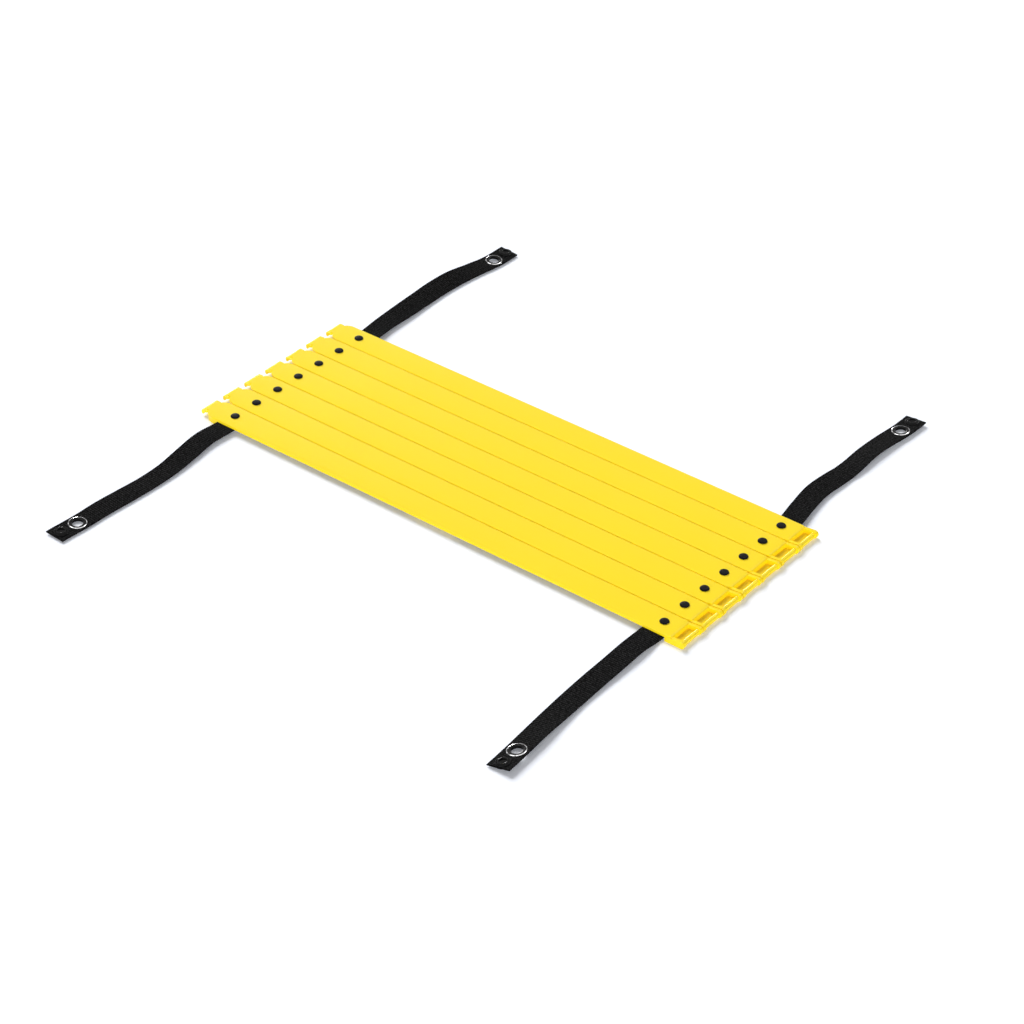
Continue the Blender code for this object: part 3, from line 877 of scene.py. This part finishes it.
def make_bridge(side_name, number, finish):
    """The webbing from one rung's rivet line to the next one's, which draws out between them."""
    side = -1 if side_name == "left" else 1
    y = rung_y(number)
    gap_middle = y + rung_pitch / 2
    low = gap_middle - gap_bend_length / 2
    high = gap_middle + gap_bend_length / 2
    stations = []
    for step in range(16):
        place_y = y + (low - y) * step / 16
        stations.append((place_y, place_y - y))
    drawn = 300
    for step in range(drawn + 1):
        # The inverse of a smooth step, so that the ribs are even once the blend draws them out
        share = 0.5 - math.sin(math.asin(1 - 2 * step / drawn) / 3)
        place_y = low + gap_bend_length * share
        stations.append((place_y, place_y - y + spread_travel * step / drawn))
    for step in range(1, 17):
        place_y = high + (y + rung_pitch - high) * step / 16
        stations.append((place_y, place_y - y + spread_travel))

    def place(place_y, across, up):
        return (rivets_middle + side * strap_x + across, place_y, strap_bottom + up)

    name = f"webbing_{side_name}_{number}"
    obj = loft_webbing(name, stations, place, 12, finish)
    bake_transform(obj)
    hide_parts(f"strap_{side_name}_{number}")


def make_slack(side_name, number, finish):
    """The spare webbing of one interval, doubled flat and tucked along the rung."""
    side = -1 if side_name == "left" else 1
    y = rung_y(number)
    middle = (slack_bottom + strap_top) / 2
    turn_radius = (strap_top + strap_bottom) / 2 - middle
    turn_x = strap_x - turn_radius - slack_middle_gap / 2 - strap_thickness / 2
    near = -strap_width / 2 + selvedge_round
    run = turn_x - near
    route = [(near + run * step / 100, turn_radius, quarter_turn) for step in range(100)]
    for step in range(13):
        angle = quarter_turn - half_turn * step / 12
        route.append((turn_x + turn_radius * math.cos(angle), turn_radius * math.sin(angle), angle))
    route += [(turn_x - run * step / 100, -turn_radius, -quarter_turn) for step in range(1, 101)]
    stations = []
    woven = 0
    for k, point in enumerate(route):
        if k:
            woven += math.hypot(point[0] - route[k - 1][0], point[1] - route[k - 1][1])
        stations.append((point, woven))

    def place(point, across, up):
        out = up - strap_thickness / 2
        x = point[0] + out * math.cos(point[2])
        z = middle + point[1] + out * math.sin(point[2])
        return (rivets_middle + side * (strap_x - x), y + slack_setback + across, z)

    name = f"webbing_slack_{side_name}_{number}"
    obj = loft_webbing(name, stations, place, 12, finish)
    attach(obj, f"rung_{number}")
    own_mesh(obj)
    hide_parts(f"strap_{side_name}_{number}")


# Eyelets and press studs


def make_eyelet(metal):
    """A rolled flange and a flared barrel, open through the middle."""
    base = strap_thickness + fitting_nip
    outer_wall = eyelet_bore_radius + eyelet_wall
    barrel_end = ground_gap - fitting_lift
    middle = (eyelet_bore_radius + eyelet_radius) / 2
    half = (eyelet_radius - eyelet_bore_radius) / 2
    profile = [(outer_wall, base), (outer_wall, barrel_end), (eyelet_bore_radius, barrel_end)]
    profile += reversed(arc((middle, base), (half, eyelet_crown), 0, half_turn, 18))
    return smooth(turned("eyelet", profile, 72, True, metal), 50)


def make_washer(metal):
    inner = eyelet_bore_radius + eyelet_wall + washer_clearance
    profile = [
        (inner, -fitting_lift),
        (eyelet_radius - washer_round, -fitting_lift),
        (eyelet_radius, -fitting_lift + washer_round),
        (eyelet_radius, -fitting_nip),
        (inner, -fitting_nip),
    ]
    return smooth(turned("washer", profile, 72, True, metal), 50)


def make_socket(metal):
    """The stud's cup: a rolled outer edge, a groove, an inner collar and a deep middle."""
    base = strap_thickness + fitting_nip
    top = strap_thickness + seat_gap + stud_height
    floor = strap_thickness + seat_gap + stud_cup_floor
    hole = stud_post_radius
    profile = [
        (hole, base),
        (stud_radius - cup_edge_round, base),
        (stud_radius, base + cup_edge_rise),
        (stud_radius, base + cup_wall_height),
    ]
    roll_middle = (stud_radius - cup_roll_radii[0], base + cup_wall_height)
    profile += arc(roll_middle, cup_roll_radii, 0, half_turn, 8)[1:]
    profile.append((stud_radius - cup_groove_reach, base + cup_groove_height))
    collar_middle = (stud_cup_radius + cup_collar_offset, top - cup_collar_radii[1])
    profile += arc(collar_middle, cup_collar_radii, 0, half_turn, 8)
    profile += [(collar_middle[0] - cup_collar_radii[0], floor), (hole, floor)]
    return smooth(turned("socket", profile, 56, True, metal), 50)


def make_cap(metal):
    """The plain cap below, and the post whose rounded end shows in the cup."""
    post_top = strap_thickness + seat_gap + stud_cup_floor + post_rise
    profile = [
        (0, -fitting_lift),
        (stud_radius - cap_round, -fitting_lift),
        (stud_radius, -fitting_lift + cap_round),
        (stud_radius, -fitting_nip),
        (stud_post_radius, -fitting_nip),
    ]
    profile += arc((0, post_top - post_round), (stud_post_radius, post_round), 0, quarter_turn, 8)[:-1]
    profile.append((0, post_top))
    return smooth(turned("cap", profile, 56, False, metal), 50)


# Stage


def make_stage():
    """A white floor that takes the object's shadow. Its slight glow keeps the shadow light."""
    reach = 12.0
    bm = bmesh.new()
    bm.faces.new([bm.verts.new((x, y, 0)) for x, y in rectangle(-reach, reach, -reach, reach)])
    made, tree, shader = new_material("floor")
    tree.nodes.remove(shader)
    diffuse = add_node(tree, "ShaderNodeBsdfDiffuse", {"Color": (0.92, 0.945, 1, 1)})
    glow = add_node(tree, "ShaderNodeEmission", {"Color": (0.88, 0.91, 1, 1), "Strength": 0.13})
    both = add_node(tree, "ShaderNodeAddShader")
    tree.links.new(diffuse.outputs[0], both.inputs[0])
    tree.links.new(glow.outputs[0], both.inputs[1])
    pick = add_node(tree, "ShaderNodeMixShader")
    tree.links.new(seen_directly(tree), pick.inputs[0])
    tree.links.new(diffuse.outputs[0], pick.inputs[1])
    tree.links.new(both.outputs[0], pick.inputs[2])
    tree.links.new(pick.outputs[0], tree.nodes["Material Output"].inputs["Surface"])
    floor = new_object("floor", bm, made)


def make_sun(name, strength, degrees, towards, shadow=False, matt=True, shine=False):
    """A far lamp in the direction given: its matt light, its shine, and whether it casts shadows."""
    sun = bpy.data.lights.new(name, "SUN")
    sun.energy = strength
    sun.angle = math.radians(degrees)
    sun.use_shadow = shadow
    lamp = bpy.data.objects.new(name, sun)
    lamp.visible_diffuse = matt
    lamp.visible_glossy = shine
    lamp.rotation_mode = "QUATERNION"
    lamp.rotation_quaternion = Vector(towards).to_track_quat("Z", "Y")
    bpy.context.scene.collection.objects.link(lamp)


def make_lights():
    make_sun("key", 3.85, 40, (-0.74, 0.34, 0.6), shadow=True)
    make_sun("front_fill", 1.9, 30, (0.25, -0.95, 0.16), shadow=True)
    make_sun("end_fill", 1.8, 30, (0.9, -0.35, 0))
    make_sun("sheen", 0.8, 35, (-0.45, -0.15, 0.85), matt=False, shine=True)
    make_sun("low_glint", 0.9, 10, (-0.77, 0.63, 0.08), matt=False, shine=True)
    make_sun("high_glint", 0.7, 10, (0.09, 0.63, 0.77), matt=False, shine=True)
    world = bpy.data.worlds.new("studio")
    world.use_nodes = True
    tree = world.node_tree
    sky = tree.nodes["Background"]
    sky.inputs["Color"].default_value = (1, 1, 1, 1)
    sky.inputs["Strength"].default_value = 0.22
    shown = add_node(tree, "ShaderNodeBackground", {"Color": (1, 1, 1, 1), "Strength": 1.0})
    pick = add_node(tree, "ShaderNodeMixShader")
    tree.links.new(seen_directly(tree), pick.inputs[0])
    tree.links.new(sky.outputs[0], pick.inputs[1])
    tree.links.new(shown.outputs[0], pick.inputs[2])
    tree.links.new(pick.outputs[0], tree.nodes["World Output"].inputs["Surface"])
    bpy.context.scene.world = world
    bpy.context.scene.view_settings.view_transform = "Standard"


def make_camera():
    data = bpy.data.cameras.new("camera")
    data.lens = 94.8
    data.sensor_width = 36
    camera = bpy.data.objects.new("camera", data)
    camera.location = (1.1032, -1.3592, 1.2302)
    target = Vector((0.0454, -0.0383, 0.0071))
    camera.rotation_mode = "QUATERNION"
    camera.rotation_quaternion = (target - camera.location).to_track_quat("-Z", "Y")
    bpy.context.scene.collection.objects.link(camera)
    bpy.context.scene.camera = camera


def build():
    make_stage()
    make_lights()
    make_camera()
    yellow = make_rung_plastic()
    black = make_rivet_plastic()
    webbing = make_webbing()
    # The eyelet metal's dark and light colours are painted reflection.
    nickel_painted_reflections = ((0.2, 0.2, 0.2), (0.8, 0.8, 0.81))
    black_shades = ((0.002, 0.002, 0.002), (0.005, 0.005, 0.005))
    nickel = make_metal("eyelet_metal", *nickel_painted_reflections, 0.15, 0.3, 1.0, eyelet_painted_shade_radius)
    gunmetal = make_metal("stud_metal", *black_shades, 0.08, 0.14, 0.0)

    rung = make_rung(yellow)
    rivet = make_rivet(black)
    for number in range(1, rung_count + 1):
        y = rung_y(number)
        body = f"rung_{number}"
        made = copy_at(rung, f"moulded_rung_{number}", Matrix.Translation((rivets_middle, y, 0)))
        dress(made, body, "rung_plastic", body)
        for side_name, side in (("left", -1), ("right", 1)):
            place = Matrix.Translation((rivets_middle + side * rivet_x, y, 0))
            made = copy_at(rivet, f"domed_rivet_{side_name}_{number}", place)
            dress(made, body, "rivet_plastic", f"rivet_{side_name}_{number}")
            if number < rung_count:
                make_bridge(side_name, number, webbing)
                make_slack(side_name, number, webbing)

    fittings = (
        (make_eyelet(nickel), "eyelet", eyelet_run, "eyelet_metal"),
        (make_washer(nickel), "eyelet_washer", eyelet_run, "eyelet_metal"),
        (make_socket(gunmetal), "stud_socket", stud_run, "stud_metal"),
        (make_cap(gunmetal), "stud_cap", stud_run, "stud_metal"),
    )
    for tail in tail_drift_shares:
        make_tail(tail, webbing)
        for pattern, name, run_on, material_slot in fittings:
            node = f"{name}_{tail[0]}_{tail[1]}"
            made = copy_at(pattern, f"fine_{node}", tail_pose(tail, run_on(tail)))
            dress(made, f"tail_{tail[0]}_{tail[1]}", material_slot, node)
    for pattern in [rung, rivet] + [fitting[0] for fitting in fittings]:
        bpy.data.objects.remove(pattern)


build()
